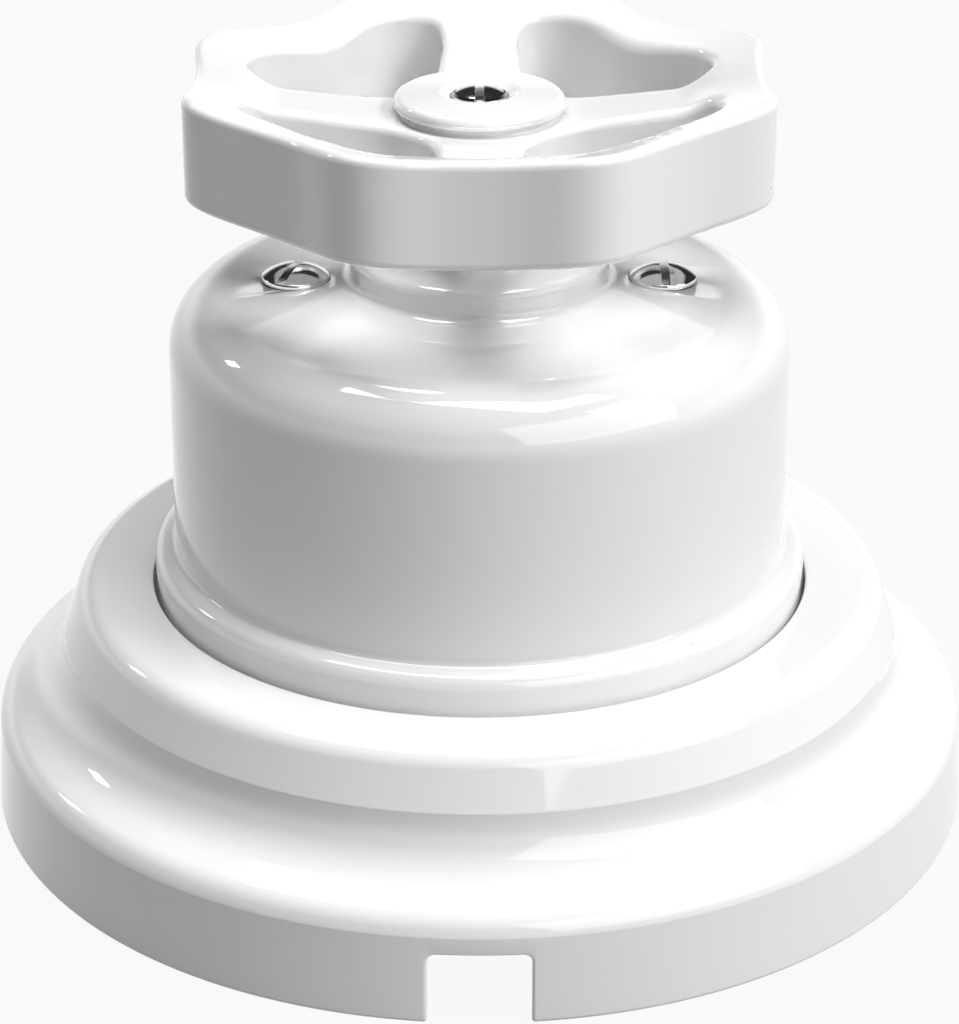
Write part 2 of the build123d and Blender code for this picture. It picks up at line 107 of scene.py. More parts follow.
def spin_section(shape, steps):
    """Spins the section once round the Z axis, merges the seam and drops what lies on the axis."""
    bmesh.ops.spin(
        shape, geom=shape.verts[:] + shape.edges[:], cent=(0, 0, 0), axis=up, angle=2 * pi,
        steps=steps, use_merge=True, use_duplicate=False,
    )
    bmesh.ops.remove_doubles(shape, verts=shape.verts[:], dist=0.0005 * mm)
    bmesh.ops.dissolve_degenerate(shape, edges=shape.edges[:], dist=0.0001 * mm)
    axis_edges = [edge for edge in shape.edges if edge.is_wire]
    bmesh.ops.delete(shape, geom=axis_edges, context="EDGES")


def finish_mesh(shape, name):
    """Turns a bmesh into a smooth-shaded piece with its faces outwards."""
    bmesh.ops.recalc_face_normals(shape, faces=shape.faces[:])
    for face in shape.faces:
        face.smooth = True
    mesh = bpy.data.meshes.new(name)
    shape.to_mesh(mesh)
    shape.free()
    piece = bpy.data.objects.new(name, mesh)
    bpy.context.scene.collection.objects.link(piece)
    print(name, len(mesh.polygons), "faces")
    return piece


def turn(name, corners, steps=240):
    """A closed piece turned about Z from its section."""
    shape = bmesh.new()
    draw_section(shape, corners)
    spin_section(shape, steps)
    return finish_mesh(shape, name)


def carve(piece, cutter):
    """Cuts one closed mesh out of another, for good, and throws the cutter away."""
    boolean = piece.modifiers.new("carve", "BOOLEAN")
    boolean.operation = "DIFFERENCE"
    boolean.solver = "EXACT"
    boolean.object = cutter
    bpy.context.view_layer.update()
    evaluated = piece.evaluated_get(bpy.context.evaluated_depsgraph_get())
    carved = bpy.data.meshes.new_from_object(evaluated)
    piece.modifiers.clear()
    carved.name = piece.name
    piece.data = carved
    bpy.data.objects.remove(cutter)
    print(piece.name, "carved to", len(carved.polygons), "faces")


# %% [markdown]
# The frame is slip-cast porcelain: a broad foot, a rolled shoulder that dips into a cove, and a
# leaning collar with a flat top. A lathe section gives all of that at once. The glaze softens every
# edge, so no corner is left sharp: the creases in the section keep a fraction of a millimetre.

# %% Frame
frame_section = [
    (50.0, 0.0, 0.45),
    (49.4, 8.8, 0.5),
    (48.93, 10.33, 2.9),
    (42.35, 13.29, 6.4),
    (42.35, 17.7, 0.35),
    (40.42, 23.0, 2.5),
    (33.2, 23.0, 0.5),
    (33.2, 19.0, 0.25),
    (24.0, 19.0, 0.6),
    (24.0, 13.5, 0.6),
    (37.5, 13.5, 3.0),
    (44.2, 6.0, 4.0),
    (44.9, 0.0, 0.4),
]
porcelain_frame = turn("porcelain_frame", frame_section)

# %% [markdown]
# The cable notch is cut while the clay is leather hard, then its arris is wiped round with a wet
# sponge. Here a small block with two rounded upper corners cuts it, and only the edges on the
# outer wall are bevelled, because those are the ones that the glaze rounds off.

# %% Cable notch
notch_half = 4.8
notch_height = 7.0
notch_corner = 0.8
notch_place = -47.0
arris = 0.34
wall_front = -48.5
sharp = radians(50)


def notch_cutter():
    """A block through the front wall, below the top of the notch."""
    shape = bmesh.new()
    bmesh.ops.create_cube(shape, size=1.0)
    bmesh.ops.scale(shape, verts=shape.verts[:], vec=(2 * notch_half * mm, 12 * mm, 10 * mm))
    bmesh.ops.translate(shape, verts=shape.verts[:], vec=(0, notch_place * mm, (notch_height - 5) * mm))
    upper = [
        edge for edge in shape.edges
        if abs((edge.verts[0].co - edge.verts[1].co).y) > mm and edge.verts[0].co.z > 0
    ]
    bmesh.ops.bevel(
        shape, geom=upper, offset=notch_corner * mm, offset_type="OFFSET", segments=6,
        profile=0.5, affect="EDGES", material=-1,
    )
    return finish_mesh(shape, "notch_cutter")


def soften(piece, width, segments, chosen):
    """Bevels the sharp edges of a piece whose middles, in mm, a test chooses."""
    shape = bmesh.new()
    shape.from_mesh(piece.data)
    edges = []
    for edge in shape.edges:
        middle = (edge.verts[0].co + edge.verts[1].co) / 2 / mm
        if chosen(middle) and len(edge.link_faces) == 2 and edge.calc_face_angle() > sharp:
            edges.append(edge)
    bmesh.ops.bevel(
        shape, geom=edges, offset=width * mm, offset_type="OFFSET", segments=segments,
        profile=0.5, affect="EDGES", material=-1,
    )
    for face in shape.faces:
        face.smooth = True
    shape.to_mesh(piece.data)
    shape.free()
    print(piece.name, "edges softened", len(edges))


def at_notch(point):
    """True where the notch meets the outer wall."""
    return point.y < wall_front and abs(point.x) < notch_half + 0.05


carve(porcelain_frame, notch_cutter())
soften(porcelain_frame, arris, 4, at_notch)
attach(porcelain_frame, "housing")
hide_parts("frame")

# %% [markdown]
# The cover is a thin porcelain cap. Its foot is a bead with a sloping top, its wall leans in by a
# fraction of a degree for the mould, and its top steps up through two coves to the neck round the
# spindle. A half shell with a thickness modifier would do for the outside, but a section that goes
# round inside and out gives a closed piece at once, so light can't leak through it.

# %% Cover
cover_section = [
    (32.9, 19.0, 0.3),
    (32.9, 26.2, 1.5),
    (30.84, 27.0, 0.6),
    (30.65, 52.97, 6.0),
    (12.8, 54.2, 1.1),
    (12.7, 57.1, 1.0),
    (6.4, 58.2, 2.2),
    (6.4, 61.0, 0.5),
    (4.1, 61.0, 0.4),
    (4.1, 49.6, 0.4),
    (27.3, 48.9, 3.0),
    (27.5, 19.0, 0.5),
]
porcelain_cover = turn("porcelain_cover", cover_section)

# %% [markdown]
# Each cover screw sits in a countersink. The cutter is turned too, and it flares where it leaves
# the porcelain, so the glaze rolls over into the hole instead of ending at a knife edge.

# %% Countersinks
screw_offset = 18.1
screw_seat = 53.8
countersink = [
    (0.0, 48.0, 0.0),
    (2.0, 48.0, 0.0),
    (2.0, 52.5, 0.0),
    (3.22, 53.62, 0.3),
    (3.75, 54.2, 0.0),
    (0.0, 54.2, 0.0),
]
for side in (-1, 1):
    cutter = turn("countersink_cutter", countersink, 96)
    cutter.data.transform(Matrix.Translation((side * screw_offset * mm, 0, 0)))
    carve(porcelain_cover, cutter)
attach(porcelain_cover, "housing")
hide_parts("cover")

# %% [markdown]
# The knob is one casting: a dished wheel with a wavy rim, four windows and a raised hub. It is made
# flat first, like a biscuit cut from a slab: outline, windows and hub circle are drawn as loops and
# filled. The windows get soft corners by smoothing their loops, much as a wet sponge rounds clay.

# %% Knob outline
knob_mean = 27.95
lobes = {4: 0.47, 8: -1.35, 16: 0.17}
rim_width = 5.1
spoke_half = 3.5
spoke_flare = 0.07
hub_window = 9.25
hub_circle = 7.92
hub_border = 8.06
edge_radius = 28.0
edge_top = 75.19
edge_depth = 10.25
dish_slope = 0.246
spoke_slope = 0.127
spoke_foot = 70.8
spoke_run = (19.0, 23.2)
rim_segments = 480
hub_segments = 192
window_cuts = 46
window_passes = 95


def rim_radius(vertex):
    """The knob's outline: eight shallow lobes, in mm, at a vertex's angle."""
    angle = Vector((1, 0)).angle_signed(vertex.co.xy, 0) if vertex.co.xy.length else 0
    return knob_mean + sum(depth * cos(count * angle) for count, depth in lobes.items())


def draw_rim(shape, inset):
    """A closed loop that follows the rim, moved inwards by inset."""
    circle = bmesh.ops.create_circle(shape, cap_ends=False, segments=rim_segments, radius=1.0)
    for vertex in circle["verts"]:
        vertex.co *= (rim_radius(vertex) - inset) * mm


def draw_window():
    """One window in the first quadrant: a rim arc, two spoke sides and a hub arc, softened."""
    shape = bmesh.new()
    draw_rim(shape, rim_width)
    bmesh.ops.create_circle(shape, cap_ends=False, segments=180, radius=hub_window * mm)
    rim_end = knob_mean - rim_width
    sides = {
        (1, spoke_flare, 0): (spoke_half, rim_end, 0),
        (spoke_flare, 1, 0): (rim_end, spoke_half, 0),
    }
    for normal, place in sides.items():
        bmesh.ops.bisect_plane(
            shape, geom=shape.verts[:] + shape.edges[:], dist=0.0001 * mm,
            plane_co=Vector(place) * mm, plane_no=normal, clear_inner=True,
        )
    ends = [vertex for vertex in shape.verts if len(vertex.link_edges) == 1]
    along_x = sorted((v for v in ends if v.co.x > v.co.y), key=lambda v: v.co.x)
    along_y = sorted((v for v in ends if v.co.x <= v.co.y), key=lambda v: v.co.y)
    spokes = [shape.edges.new(along_x), shape.edges.new(along_y)]
    bmesh.ops.subdivide_edges(shape, edges=spokes, cuts=window_cuts)
    for _ in range(window_passes):
        bmesh.ops.smooth_vert(
            shape, verts=shape.verts[:], factor=0.5, use_axis_x=True, use_axis_y=True,
            use_axis_z=False,
        )
    mesh = bpy.data.meshes.new("window_loop")
    shape.to_mesh(mesh)
    shape.free()
    return mesh


def knob_blank():
    """The flat pattern of the wheel, filled, with the hub as a face of its own."""
    shape = bmesh.new()
    draw_rim(shape, 0)
    window = draw_window()
    for quarter in range(4):
        window.transform(Matrix.Rotation(pi / 2, 4, "Z"))
        shape.from_mesh(window)
    bpy.data.meshes.remove(window)
    hub = bmesh.ops.create_circle(
        shape, cap_ends=False, segments=hub_segments, radius=hub_border * mm
    )
    bmesh.ops.triangle_fill(
        shape, use_beauty=True, use_dissolve=False, edges=shape.edges[:], normal=up
    )
    shape.faces.new(hub["verts"])
    bmesh.ops.recalc_face_normals(shape, faces=shape.faces[:])
    if shape.faces[0].normal.z < 0:
        bmesh.ops.reverse_faces(shape, faces=shape.faces[:])
    return shape


# %% [markdown]
# A rounded rim could come from the bevel tool, but on thin triangles it tangles. Insets with a
# depth do the same job step by step: each one moves the border in by a little and the face up by a
# little, along a quarter circle. The flat part is then cut into cells that can bend.

# %% Knob slab
border_steps = 6
cell = 1.3
cell_shift = 0.37


def round_border(shape, radius, steps):
    """Rounds the border of a flat region by insets on a quarter circle; gives the new ring faces."""
    region = shape.faces[:]
    rings = set()
    bounds = [radians(90 * step / steps) for step in range(steps + 1)]
    for low, high in zip(bounds, bounds[1:]):
        inward = radius * (cos(low) - cos(high))
        upward = radius * (sin(high) - sin(low))
        made = bmesh.ops.inset_region(
            shape, faces=region, thickness=inward * mm, depth=upward * mm,
            use_even_offset=True, use_boundary=True,
        )
        rings.update(made["faces"])
    return rings


def dice(shape, rings):
    """Cuts the flat faces into small cells, so that they can take a curved shape."""
    reach = int(knob_mean / cell) + 1
    for normal in (Vector((1, 0, 0)), Vector((0, 1, 0))):
        for line in range(-reach, reach + 1):
            flat = [face for face in shape.faces if face not in rings]
            edges = {edge for face in flat for edge in face.edges}
            verts = {vertex for face in flat for vertex in face.verts}
            bmesh.ops.bisect_plane(
                shape, geom=list(verts) + list(edges) + flat, dist=0.002 * mm,
                plane_co=normal * (line + cell_shift) * cell * mm, plane_no=normal,
            )


def knob_side(rounding, height, flip):
    """One face of the slab, rounded at its border and standing at a height."""
    shape = knob_blank()
    bmesh.ops.translate(shape, verts=shape.verts[:], vec=(0, 0, (height - rounding) * mm))
    rings = round_border(shape, rounding, border_steps)
    hub = [face for face in shape.faces if len(face.verts) > 100]
    width = (hub_border - hub_circle) * mm
    rings.update(bmesh.ops.inset_individual(shape, faces=hub, thickness=width)["faces"])
    bmesh.ops.delete(shape, geom=hub, context="FACES_ONLY")
    dice(shape, rings)
    if flip:
        bmesh.ops.scale(shape, verts=shape.verts[:], vec=(1, 1, -1))
        bmesh.ops.reverse_faces(shape, faces=shape.faces[:])
    mesh = bpy.data.meshes.new("knob_side")
    shape.to_mesh(mesh)
    shape.free()
    print("knob side", len(mesh.polygons), "faces")
    return mesh


print("a face of the knob is rounded in", border_steps, "steps and cut into cells of", cell, "mm")

# %% [markdown]
# The two faces are joined by walls. The walls are pulled down from the upper borders in three
# stages, a short one, a long one and a short one, so that smooth shading leaves them flat. Then each
# point is lifted by its radius, which turns the slab into a dish: the rim is a cone, the spokes run
# flatter, and the web is thinner than the rim. A lattice could bend the slab too, but a formula by
# radius gives each height exactly.

# %% Knob
top_rounding = 0.9
bottom_rounding = 0.6
web_lift = 2.4
web_step = (22.6, 24.2)
hub_collar = [(7.6, 71.5, 0.2), (8.3, 71.5, 0.35), (8.3, 72.75, 0.8)]
hub_turning = [
    (3.8, 73.1, 1.0),
    (2.85, 72.6, 0.12),
    (2.85, 71.5, 0.0),
    (1.7, 71.5, 0.0),
    (1.7, 68.0, 0.0),
    (3.05, 68.0, 0.0),
    (3.05, 61.4, 0.0),
    (7.2, 61.4, 0.5),
]


def ease(value, low, high):
    """Goes smoothly from 0 to 1 between two values."""
    share = min(1, max(0, (value - low) / (high - low)))
    return share * share * (3 - 2 * share)


def upper_face(radius):
    """Height of the upper face in mm: a cone on the rim that eases into flatter spokes."""
    cone = edge_top + dish_slope * (radius - edge_radius)
    spoke = spoke_foot + spoke_slope * (radius - hub_circle)
    return spoke + (cone - spoke) * ease(radius, *spoke_run)


def lower_face(radius):
    """Height of the lower face in mm: a cone as well, higher under the web than under the rim."""
    cone = edge_top - edge_depth + dish_slope * (radius - edge_radius)
    return cone + web_lift * (1 - ease(radius, *web_step))


def shape_dish(shape):
    """Moves the upper half of the slab with the upper face and the lower half with the lower."""
    for vertex in shape.verts:
        radius = vertex.co.xy.length / mm
        if vertex.co.z > (edge_top - edge_depth / 2) * mm:
            vertex.co.z += (upper_face(radius) - edge_top) * mm
        else:
            vertex.co.z += (lower_face(radius) - edge_top + edge_depth) * mm


def pull_walls(shape, borders):
    """Pulls the upper borders down to the lower face in three stages."""
    wall = edge_depth - top_rounding - bottom_rounding
    for drop in (support / mm, wall - 2 * support / mm, support / mm):
        made = bmesh.ops.extrude_edge_only(shape, edges=borders)["geom"]
        verts = {item for item in made if isinstance(item, bmesh.types.BMVert)}
        edges = [item for item in made if isinstance(item, bmesh.types.BMEdge)]
        borders = [edge for edge in edges if verts.issuperset(edge.verts)]
        bmesh.ops.translate(shape, verts=list(verts), vec=(0, 0, -drop * mm))


def make_knob():
    """The whole knob: two faces, walls, dish and the turned hub, welded into one shell."""
    shape = bmesh.new()
    upper = knob_side(top_rounding, edge_top, False)
    shape.from_mesh(upper)
    wall_top = (edge_top - top_rounding) * mm
    borders = [
        edge for edge in shape.edges
        if edge.is_boundary and all(abs(v.co.z - wall_top) < 0.01 * mm for v in edge.verts)
    ]
    pull_walls(shape, borders)
    lower = knob_side(bottom_rounding, edge_depth - edge_top, True)
    shape.from_mesh(lower)
    bmesh.ops.remove_doubles(shape, verts=shape.verts[:], dist=0.002 * mm)
    shape_dish(shape)
    hub = bmesh.new()
    upper_seam = (hub_circle, upper_face(hub_circle), 0)
    lower_seam = (hub_circle, lower_face(hub_circle), 0)
    top = [upper_seam, (7.6, upper_seam[1], 0.22)]
    foot = [(7.3, lower_seam[1] + 0.05, 0.3), lower_seam]
    draw_section(hub, top + hub_collar + hub_turning + foot, closed=False)
    spin_section(hub, hub_segments)
    hub_mesh = bpy.data.meshes.new("knob_hub")
    hub.to_mesh(hub_mesh)
    hub.free()
    shape.from_mesh(hub_mesh)
    bmesh.ops.remove_doubles(shape, verts=shape.verts[:], dist=0.004 * mm)
    for mesh in (upper, lower, hub_mesh):
        bpy.data.meshes.remove(mesh)
    open_edges = sum(edge.is_boundary for edge in shape.edges)
    print("knob open edges", open_edges)
    return finish_mesh(shape, "porcelain_knob")


porcelain_knob = make_knob()
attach(porcelain_knob, "knob_set")
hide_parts("knob")

# %% [markdown]
# The screws are lathe work too: a domed head, a cone or a flat seat below it, and a shank. The dome
# could be a slice of a sphere, but one long arc in the section gives it without a second piece. The
# slot is sawn last, so it is a cut, and its edges get the faint burr-free bevel of a plated part.

# %% Screws
slot_width = 0.8
slot_depth = 1.0
dome_edge = 0.97
cover_size = {
    "head": 3.3, "crown": 55.35, "dome": 1.1, "seat": screw_seat, "cone": 1.15, "shank": 1.75,
    "tip": 39.5,
}
hub_size = {
    "head": 2.7, "crown": 73.45, "dome": 0.75, "seat": 71.5, "cone": 0, "shank": 1.45, "tip": 60.2,
}


def turn_screw(name, head, crown, dome, seat, cone, shank, tip):
    """A screw on the Z axis, with a head whose dome runs level at the axis."""
    ball = (head**2 + dome**2) / (2 * dome)
    reach = ball * tan(asin(head / ball) / 2)
    corners = [
        (0, crown, 0),
        (reach, crown, dome_edge * ball),
        (head, crown - dome, 0),
        (head, seat, 0.05),
        (shank, seat - cone, 0),
        (shank, tip, 0.3),
        (0, tip, 0),
    ]
    return turn(name, corners, 96)


def saw_slot(screw, size, angle):
    """Saws the slot across a head at an angle, and softens its edges."""
    crown = size["crown"]
    shape = bmesh.new()
    bmesh.ops.create_cube(shape, size=1.0)
    bmesh.ops.scale(shape, verts=shape.verts[:], vec=(3 * size["head"] * mm, slot_width * mm, 2 * mm))
    bottom = [edge for edge in shape.edges if all(vertex.co.z < 0 for vertex in edge.verts)]
    long_edges = [edge for edge in bottom if abs((edge.verts[0].co - edge.verts[1].co).x) > mm]
    bmesh.ops.bevel(
        shape, geom=long_edges, offset=0.1 * mm, offset_type="OFFSET", segments=3, profile=0.5,
        affect="EDGES", material=-1,
    )
    bmesh.ops.rotate(shape, verts=shape.verts[:], matrix=Matrix.Rotation(radians(angle), 3, "Z"))
    bmesh.ops.translate(shape, verts=shape.verts[:], vec=(0, 0, (crown - slot_depth + 1) * mm))
    carve(screw, finish_mesh(shape, "slot_cutter"))
    soften(screw, 0.05, 2, lambda point: point.z > crown - slot_depth + 0.15)


screws = []
for side, name, angle in ((-1, "cover_screw_left", 66), (1, "cover_screw_right", 92)):
    screw = turn_screw(name, **cover_size)
    saw_slot(screw, cover_size, angle)
    screw.data.transform(Matrix.Translation((side * screw_offset * mm, 0, 0)))
    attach(screw, "housing")
    screws.append(screw)
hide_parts("cover_screws")
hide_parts("cover_screws")
hub_screw = turn_screw("hub_screw", **hub_size)
saw_slot(hub_screw, hub_size, 90)
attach(hub_screw, "knob_set")
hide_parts("knob_screw")
screws.append(hub_screw)

# %% [markdown]
# Materials are built from shader nodes. Wiring them by hand in code is hard to read, so a small class
# wraps a node's output, and plain arithmetic on it adds the Math nodes. Every other node comes from
# one method: its type, its settings, and then what goes into its sockets.

# %% Socket arithmetic
class Signal:
    """A node's output that can be used in arithmetic like a number."""

    def __init__(self, recipe, socket):
        self.recipe = recipe
        self.socket = socket

    def math(self, operation, *values):
        """A Math node with this operation on the values."""
        return self.recipe.node("ShaderNodeMath", {"operation": operation}, dict(enumerate(values)))

    def __add__(self, other):
        return self.math("ADD", self, other)

    def __sub__(self, other):
        return self.math("SUBTRACT", self, other)

    def __rsub__(self, other):
        return self.math("SUBTRACT", other, self)

    def __mul__(self, other):
        return self.math("MULTIPLY", self, other)

    def __pow__(self, other):
        return self.math("POWER", self, other)

    def __abs__(self):
        return self.math("ABSOLUTE", self)

    __radd__ = __add__
    __rmul__ = __mul__


class Recipe:
    """A node tree being written, for a material or the world."""

    def __init__(self, owner):
        owner.use_nodes = True
        self.owner = owner
        self.tree = owner.node_tree

    def node(self, kind, settings, sockets, output=0):
        """Adds a node: settings first, then each socket's value or link. Gives one output."""
        made = self.tree.nodes.new(kind)
        for name, value in settings.items():
            setattr(made, name, value)
        for name, value in sockets.items():
            self.feed(made.inputs[name], value)
        return Signal(self, made.outputs[output])

    def feed(self, socket, value):
        """Sets a socket, or links a signal to it."""
        if isinstance(value, Signal):
            self.tree.links.new(value.socket, socket)
        else:
            socket.default_value = value

    def finish(self, sockets):
        """Feeds the Principled shader of a material."""
        shader = self.tree.nodes["Principled BSDF"]
        for name, value in sockets.items():
            self.feed(shader.inputs[name], value)
        print("material", self.owner.name, len(self.tree.nodes), "nodes")
        return self.owner

    def spot(self):
        """The point being shaded, in mm, from Object coordinates."""
        point = self.node("ShaderNodeTexCoord", {}, {}, "Object")
        return self.node("ShaderNodeVectorMath", {"operation": "SCALE"}, {0: point, "Scale": 1 / mm})

    def axes(self, spot):
        """The three coordinates of a point."""
        first = self.node("ShaderNodeSeparateXYZ", {}, {0: spot})
        return [Signal(self, output) for output in first.socket.node.outputs]

    def grain(self, spot, size, detail=2):
        """Soft noise from 0 to 1 whose patches are about a size in mm."""
        sockets = {"Vector": spot, "Scale": 1 / size, "Detail": detail}
        return self.node("ShaderNodeTexNoise", {}, sockets)

    def rise(self, value, low, high):
        """Goes smoothly from 0 to 1 between two values."""
        settings = {"interpolation_type": "SMOOTHSTEP"}
        sockets = {"Value": value, "From Min": low, "From Max": high}
        return self.node("ShaderNodeMapRange", settings, sockets)

    def blend(self, share, first, second):
        """Mixes two colours."""
        return self.node(
            "ShaderNodeMix", {"data_type": "RGBA"}, {0: share, 6: first, 7: second}, 2
        )

    def bump(self, height, depth):
        """A normal from a height signal whose full step is a depth in mm."""
        return self.node("ShaderNodeBump", {}, {"Height": height, "Distance": depth * mm})


def tint(red, green, blue):
    """An opaque colour."""
    return (red, green, blue, 1)


# %% [markdown]
# Glazed porcelain is a white body under a clear glass. The shader needs three things besides white:
# the glaze is slightly wavy, so reflections wobble; round its creases it is painted greyer, as shade
# that also stands for glaze gathering there; and here and there a pinhole or a fleck of iron shows.
# The foot stands on the kiln shelf, so it is wiped free of glaze and stays matt. All of it is placed
# by radius and height in mm.

# %% Porcelain
def porcelain(name, creases, foot):
    """White glaze, painted greyer round each crease as shade. Each crease is a radius, a height and a
    reach; foot is the unglazed height.
    """
    glaze = Recipe(bpy.data.materials.new(name))
    spot = glaze.spot()
    x, y, height = glaze.axes(spot)
    radius = (x * x + y * y) ** 0.5
    crease_shade = 0
    for crease_radius, crease_height, reach in creases:
        aside = radius - crease_radius
        above = height - crease_height
        crease_shade = crease_shade + (1 - glaze.rise((aside * aside + above * above) ** 0.5, 0, reach))
    cloud = glaze.grain(spot, 16)
    colour = glaze.blend(cloud, tint(0.83, 0.832, 0.828), tint(0.865, 0.865, 0.86))
    # Painted shade: the colour turns greyer round each crease, where the glaze also gathers.
    colour = glaze.blend(crease_shade * 0.3, colour, tint(0.7, 0.715, 0.72))
    cells = {"Vector": spot, "Scale": 1 / 7}
    near = glaze.node("ShaderNodeTexVoronoi", {}, cells)
    lot = glaze.node("ShaderNodeTexVoronoi", {}, cells, "Color")
    chance = glaze.node("ShaderNodeSeparateXYZ", {}, {0: lot})
    fleck = (1 - glaze.rise(near, 0.012, 0.03)) * glaze.rise(chance, 0.82, 0.84)
    colour = glaze.blend(fleck * 0.75, colour, tint(0.3, 0.27, 0.24))
    bare = 1 - glaze.rise(height, foot, foot + 0.25)
    colour = glaze.blend(bare, colour, tint(0.8, 0.775, 0.73))
    wipe = glaze.grain(spot, 4, 3)
    wave = glaze.grain(spot, 11, 1) + glaze.grain(spot, 1.1, 1) * 0.03
    grit = glaze.grain(spot, 0.35, 2) * bare
    return glaze.finish(
        {
            "Base Color": colour,
            "Roughness": 0.035 + wipe * 0.05 + bare * 0.55,
            "IOR": 1.6,
            "Coat Weight": 0.6,
            "Normal": glaze.bump(wave + grit * 0.5 - fleck * 0.3, 0.05),
        }
    )


frame_glaze = porcelain(
    "porcelain frame", [(42.4, 16.2, 1.4), (33.2, 19.0, 1.2), (44.2, 6.0, 3.0)], 0.25
)
cover_glaze = porcelain("porcelain cover", [(30.9, 27.0, 1.0), (12.8, 54.2, 1.5)], 19.1)
knob_glaze = porcelain("porcelain knob", [(7.7, 70.4, 1.3), (7.3, 62.4, 1.4)], 61.5)
base_glaze = porcelain("porcelain base", [(7.0, 26.0, 0.9)], 19.3)
pieces = {porcelain_frame: frame_glaze, porcelain_cover: cover_glaze, porcelain_knob: knob_glaze}
for piece, material in pieces.items():
    piece.data.materials.append(material)

# %% [markdown]
# The screws are steel with bright nickel over it. A lathe leaves rings round each screw's own axis,
# and years of screwdrivers leave fine scratches. The rings come from noise that depends on the radius
# alone, so they run round the axis by themselves. Painted shade is placed by depth below the dome, so
# only the slot and the parts under the head are darkened, almost to black.

# %% Nickel
dome_curve = 0.097


def nickel(name, offset, crown):
    """Bright plate with turning rings about an axis at plus or minus offset on X, and painted shade in
    the slot; crown is a height.
    """
    plate = Recipe(bpy.data.materials.new(name))
    spot = plate.spot()
    x, y, height = plate.axes(spot)
    aside = abs(x) - offset
    radius = (aside * aside + y * y) ** 0.5
    rings = plate.node(
        "ShaderNodeTexNoise", {"noise_dimensions": "1D"}, {"W": radius, "Scale": 14, "Detail": 3}
    )
    squeeze = {0: spot, "Rotation": (0, 0, 1), "Scale": (9, 0.4, 1)}
    stretched = plate.node("ShaderNodeMapping", {}, squeeze)
    scratch = plate.rise(plate.grain(stretched, 0.8, 4), 0.6, 0.75)
    film = plate.grain(spot, 1.3, 3)
    dome = crown - radius * radius * dome_curve
    slot_shade = plate.rise(dome - height, 0.25, 0.9)
    colour = plate.blend(film, tint(0.74, 0.735, 0.72), tint(0.86, 0.855, 0.84))
    # Painted shade: the slot and the parts under the head turn almost black.
    colour = plate.blend(slot_shade * 0.92, colour, tint(0.06, 0.055, 0.05))
    return plate.finish(
        {
            "Base Color": colour,
            "Metallic": 1.0,
            "Roughness": 0.08 + film * 0.06 + scratch * 0.12 + slot_shade * 0.25,
            "Normal": plate.bump(rings * 0.5 + scratch * 0.3, 0.003),
        }
    )


cover_nickel = nickel("nickel cover screws", screw_offset, cover_size["crown"])
hub_nickel = nickel("nickel hub screw", 0, hub_size["crown"])
for screw in screws:
    screw.data.materials.append(hub_nickel if screw is hub_screw else cover_nickel)

# %% [markdown]
# The works inside keep their CAD shapes, because sawn, pressed and turned metal is as plain as that.
# Each kind still gets its own finish. One recipe serves them all: a clean and a dull colour in
# patches, the marks of the tool that shaped the piece, and a little dirt. Rolled strip has marks
# along one axis, turned rod has them round the Z axis.

# %% Metals of the works
def metal(name, clean, dull, roughness, marks):
    """Bare or plated metal. Marks are how strongly the noise is squeezed along X, Y and Z."""
    stock = Recipe(bpy.data.materials.new(name))
    spot = stock.spot()
    patches = stock.rise(stock.grain(spot, 5, 4), 0.35, 0.7)
    squeezed = stock.node("ShaderNodeMapping", {}, {0: spot, "Scale": marks})
    lines = stock.grain(squeezed, 1, 4)
    dirt = stock.rise(stock.grain(spot, 0.8, 5), 0.62, 0.75)
    colour = stock.blend(patches, tint(*clean), tint(*dull))
    colour = stock.blend(dirt * 0.4, colour, tint(*[0.3 * part for part in dull]))
    return stock.finish(
        {
            "Base Color": colour,
            "Metallic": 1 - dirt * 0.6,
            "Roughness": roughness + patches * 0.12 + lines * 0.1 + dirt * 0.2,
            "Normal": stock.bump(lines, 0.012),
        }
    )


turned_brass = metal("turned brass", (0.8, 0.6, 0.27), (0.55, 0.38, 0.17), 0.2, (0.3, 0.3, 12))
sawn_brass = metal("sawn brass", (0.78, 0.58, 0.27), (0.5, 0.35, 0.17), 0.28, (9, 0.5, 0.5))
rolled_bronze = metal("rolled bronze", (0.74, 0.47, 0.28), (0.45, 0.25, 0.14), 0.25, (0.4, 10, 10))
zinc_plate = metal("zinc plate", (0.66, 0.68, 0.71), (0.5, 0.51, 0.5), 0.3, (0.5, 7, 7))
blued_spring = metal("blued spring", (0.2, 0.23, 0.33), (0.34, 0.27, 0.22), 0.25, (0.3, 9, 9))
work_nickel = metal("nickel of the works", (0.72, 0.7, 0.66), (0.52, 0.5, 0.46), 0.18, (6, 6, 1))

# %% [markdown]
# The drum is pressed from a dark brown resin filled with fibre. Such mouldings show cloudy flow
# lines, a soft sheen where the mould was polished, and a slight grain where it was not.

# %% Resin
resin = Recipe(bpy.data.materials.new("moulded resin"))
resin_spot = resin.spot()
flow = resin.node(
    "ShaderNodeTexNoise", {}, {"Vector": resin_spot, "Scale": 0.3, "Detail": 4, "Distortion": 1.6}
)
fibre = resin.grain(resin_spot, 0.25, 3)
resin_colour = resin.blend(flow, tint(0.1, 0.05, 0.03), tint(0.2, 0.12, 0.07))
resin_material = resin.finish(
    {
        "Base Color": resin.blend(resin.rise(fibre, 0.6, 0.8) * 0.4, resin_colour, tint(0.3, 0.2, 0.12)),
        "Roughness": 0.3 + fibre * 0.25,
        "Normal": resin.bump(fibre, 0.02),
    }
)

# %% [markdown]
# Each CAD node now gets its finish by name. Nodes that a Blender piece replaces get the same finish
# as the piece, so the two agree wherever the hidden one is used.

